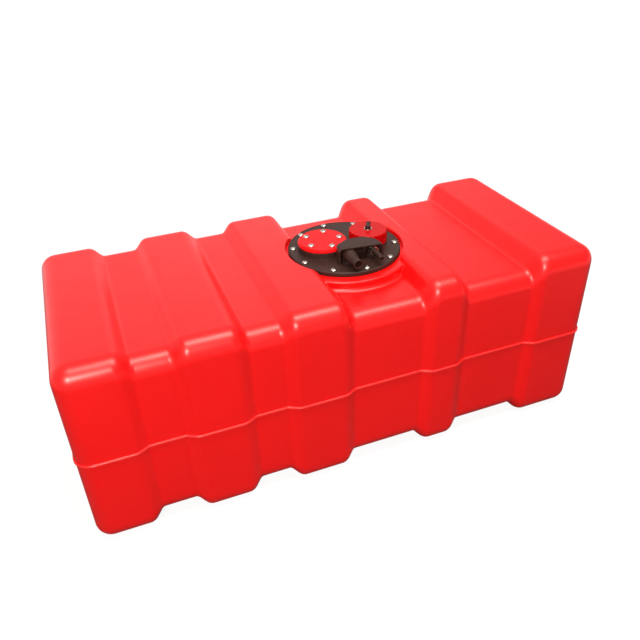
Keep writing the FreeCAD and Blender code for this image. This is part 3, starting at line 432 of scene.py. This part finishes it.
def lathe(name, rings, sides):
    """Closed piece through rings from foot to top.

    Each ring is a function that gives the radius and height, in mm, at an angle.
    """
    shape = bmesh.new()
    loops = []
    for ring in rings:
        loop = []
        for step in range(sides):
            angle = math.tau * step / sides
            radius, height = ring(angle)
            place = (radius * math.cos(angle) * MM, radius * math.sin(angle) * MM, height * MM)
            loop.append(shape.verts.new(place))
        loops.append(loop)
    for low, high in zip(loops, loops[1:]):
        for step in range(sides):
            after = (step + 1) % sides
            shape.faces.new((low[step], low[after], high[after], high[step]))
    for loop in (loops[0], loops[-1]):
        middle = shape.verts.new((0, 0, loop[0].co.z))
        for step in range(sides):
            shape.faces.new((middle, loop[step], loop[(step + 1) % sides]))
    return joined(shape, name)


def circle(radius, height):
    """Round ring."""
    return lambda angle: (radius, height)


def dome_height(radius):
    """Height of the screw head's dome at a radius."""
    rise = math.sqrt(max(0, 1 - (radius / HEAD_RADIUS) ** 2))
    return HEAD_EDGE + (HEAD_HEIGHT - HEAD_EDGE) * rise


def cross(share, height=None):
    """Ring of the cross recess, on the dome where no height is given."""
    def ring(angle):
        off = abs((angle + math.pi / 4) % (math.pi / 2) - math.pi / 4)
        reach = RECESS_HALF / math.sin(off) if off > ARM_MIDDLE else RECESS_ARM
        radius = share * max(RECESS_CORE, min(RECESS_ARM, reach))
        return radius, dome_height(radius) if height is None else height
    return ring


def threaded(shank, pitch, height):
    """Ring of a screw's thread."""
    def ring(angle):
        turn = (height / pitch - angle / math.tau) % 1
        return shank - THREAD_DEPTH * abs(2 * turn - 1), height
    return ring


def screw(name, shank, pitch, length):
    """Screw with its head's seat at height 0 and its tip at -length."""
    rings = [circle(share * shank, -length + height) for share, height in TIP_STEPS]
    rows = int((length - PLAIN_SHANK - THREAD_START) / (pitch / THREAD_RINGS))
    for row in range(rows):
        height = -length + THREAD_START + row * pitch / THREAD_RINGS
        rings.append(threaded(shank, pitch, height))
    rings += [circle(shank, -PLAIN_SHANK), circle(shank, 0)]
    rings += [circle(HEAD_RADIUS - HEAD_BEVEL, 0), circle(HEAD_RADIUS, HEAD_BEVEL)]
    for degrees in DOME_STEPS:
        radius = HEAD_RADIUS * math.cos(math.radians(degrees))
        rings.append(circle(radius, dome_height(radius)))
    rings += [cross(1), cross(RECESS_TAPER, RECESS_FLOOR)]
    return lathe(name, rings, SCREW_SIDES)


def fasten(piece, body, slot, finishes, *nodes):
    """Dress a piece, tie it to its body, and hide the nodes that it stands for."""
    if not piece.data.materials:
        piece.data.materials.append(finishes[slot])
    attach(piece, body)
    if nodes:
        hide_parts(*nodes)


def make_screws(finishes):
    """One mesh for each set of screws, on their circle."""
    for node, name, count, circle_radius, first, centre, shank, pitch in SCREW_SETS:
        low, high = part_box(node)
        seat = high[2] - HEAD_HEIGHT * MM
        pattern = None
        for number in range(count):
            piece_name = f"{name}_{number + 1}"
            if pattern is None:
                piece = pattern = screw(piece_name, shank, pitch, (seat - low[2]) / MM)
            else:
                piece = bpy.data.objects.new(piece_name, pattern.data)
                bpy.context.scene.collection.objects.link(piece)
            angle = math.radians(first + 360 * number / count)
            piece.location = (
                (centre[0] + circle_radius * math.cos(angle)) * MM,
                (centre[1] + circle_radius * math.sin(angle)) * MM,
                seat,
            )
            piece.rotation_euler.z = SCREW_TURN * number + angle
            fasten(piece, "tank", "steel", finishes, node)


def make_neck_thread(finishes):
    """Helical ridge on the pickup's neck, run out at both ends."""
    shape = bmesh.new()
    low, high = NECK_THREAD
    steps = int((high - low) / NECK_PITCH * NECK_STEPS)
    sections = []
    for step in range(steps + 1):
        share = step / steps
        run_out = min(1, NECK_RUN_OUT * share, NECK_RUN_OUT * (1 - share))
        angle = math.tau * step / NECK_STEPS
        middle = low + (high - low) * share
        section = []
        for up, offset in NECK_SECTION:
            radius = NECK_ROOT + (NECK_CREST - NECK_ROOT) * up * run_out
            section.append(shape.verts.new((
                (NECK_AXIS[0] + radius * math.cos(angle)) * MM,
                (NECK_AXIS[1] + radius * math.sin(angle)) * MM,
                (middle + offset) * MM,
            )))
        sections.append(section)
    size = len(NECK_SECTION)
    for before, after in zip(sections, sections[1:]):
        for corner in range(size):
            other = (corner + 1) % size
            shape.faces.new((before[corner], before[other], after[other], after[corner]))
    shape.faces.new(sections[0])
    shape.faces.new(sections[-1])
    fasten(joined(shape, "neck_thread"), "tank", "fitting_black", finishes)


def make_gate_mark(finishes):
    piece = lathe("gate_mark", [circle(*step) for step in GATE_PROFILE], SCREW_SIDES)
    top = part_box("gauge_cover")[1][2]
    piece.location = (GATE_SPOT[0] * MM, GATE_SPOT[1] * MM, top)
    fasten(piece, "tank", "fitting_red", finishes)


# Studio

def set_world():
    """Plain fill from all round. The camera and gloss see it white, and gloss less on the right."""
    world = bpy.data.worlds.new("studio")
    world.use_nodes = True
    bpy.context.scene.world = world
    sky = Nodes(world.node_tree)
    background = sky.tree.nodes["Background"]
    background.inputs["Color"].default_value = WHITE
    direction = sky.node("ShaderNodeTexCoord").outputs["Generated"]
    mirrored = sky.spread(sky.part(direction, "X"), SKY_LEFT, SKY_RIGHT, *SKY_TURN)
    strength = sky.spread(sky.is_seen(mirrored), SKY_FILL, 1, 0, 1)
    sky.feed(background.inputs["Strength"], strength)


def floor_material():
    """Grey that shows as white by its glow. Its grey keeps the tank's shadow; its glow is lower
    close to the tank, a painted shade around it, and gloss sees none of it there.
    """
    finish = Finish("floor", Roughness=0.9, Specular_IOR_Level=0.2)
    finish.set("Base Color", finish.shaded(finish.noise(0.4, 3), FLOOR_GREYS))
    finish.set("Emission Color", WHITE)
    along = finish.calc("MULTIPLY", finish.axis("X"), FLOOR_LONG)
    away = finish.diagonal(along, finish.axis("Y"))
    # Close to the tank the glow is lower, a painted shade around it, and gloss sees no glow, a
    # painted dark reflection in the tank
    mirrored = finish.spread(away, FLOOR_NEAR_SHARE, 1, *FLOOR_FADE)
    glow_with_painted_shade = finish.spread(away, FLOOR_NEAR_LIFT_PAINTED_SHADE, FLOOR_FAR_LIFT, *FLOOR_FADE)
    finish.set("Emission Strength", finish.calc("MULTIPLY", finish.is_seen(mirrored), glow_with_painted_shade))
    return finish.material


def set_floor():
    half = FLOOR_SIZE / 2
    corners = [(-half, -half, 0), (half, -half, 0), (half, half, 0), (-half, half, 0)]
    mesh = bpy.data.meshes.new("floor")
    mesh.from_pydata(corners, [], [(0, 1, 2, 3)])
    floor = bpy.data.objects.new("floor", mesh)
    floor.data.materials.append(floor_material())
    bpy.context.scene.collection.objects.link(floor)


def softbox(name, place, target, width, height, power, colour, mirrored):
    data = bpy.data.lights.new(name, "AREA")
    data.color = colour
    data.shape = "RECTANGLE"
    data.size = width
    data.size_y = height
    data.energy = power
    lamp = bpy.data.objects.new(name, data)
    lamp.visible_glossy = mirrored
    lamp.location = place
    direction = Vector(target) - Vector(place)
    lamp.rotation_mode = "QUATERNION"
    lamp.rotation_quaternion = direction.to_track_quat("-Z", "Y")
    bpy.context.scene.collection.objects.link(lamp)


def set_lights():
    for lamp in SOFTBOXES:
        softbox(*lamp)


set_camera()
finishes = dress_nodes()
make_screws(finishes)
make_neck_thread(finishes)
make_gate_mark(finishes)
set_floor()
set_world()
set_lights()
bpy.context.scene.view_settings.view_transform = "Standard"
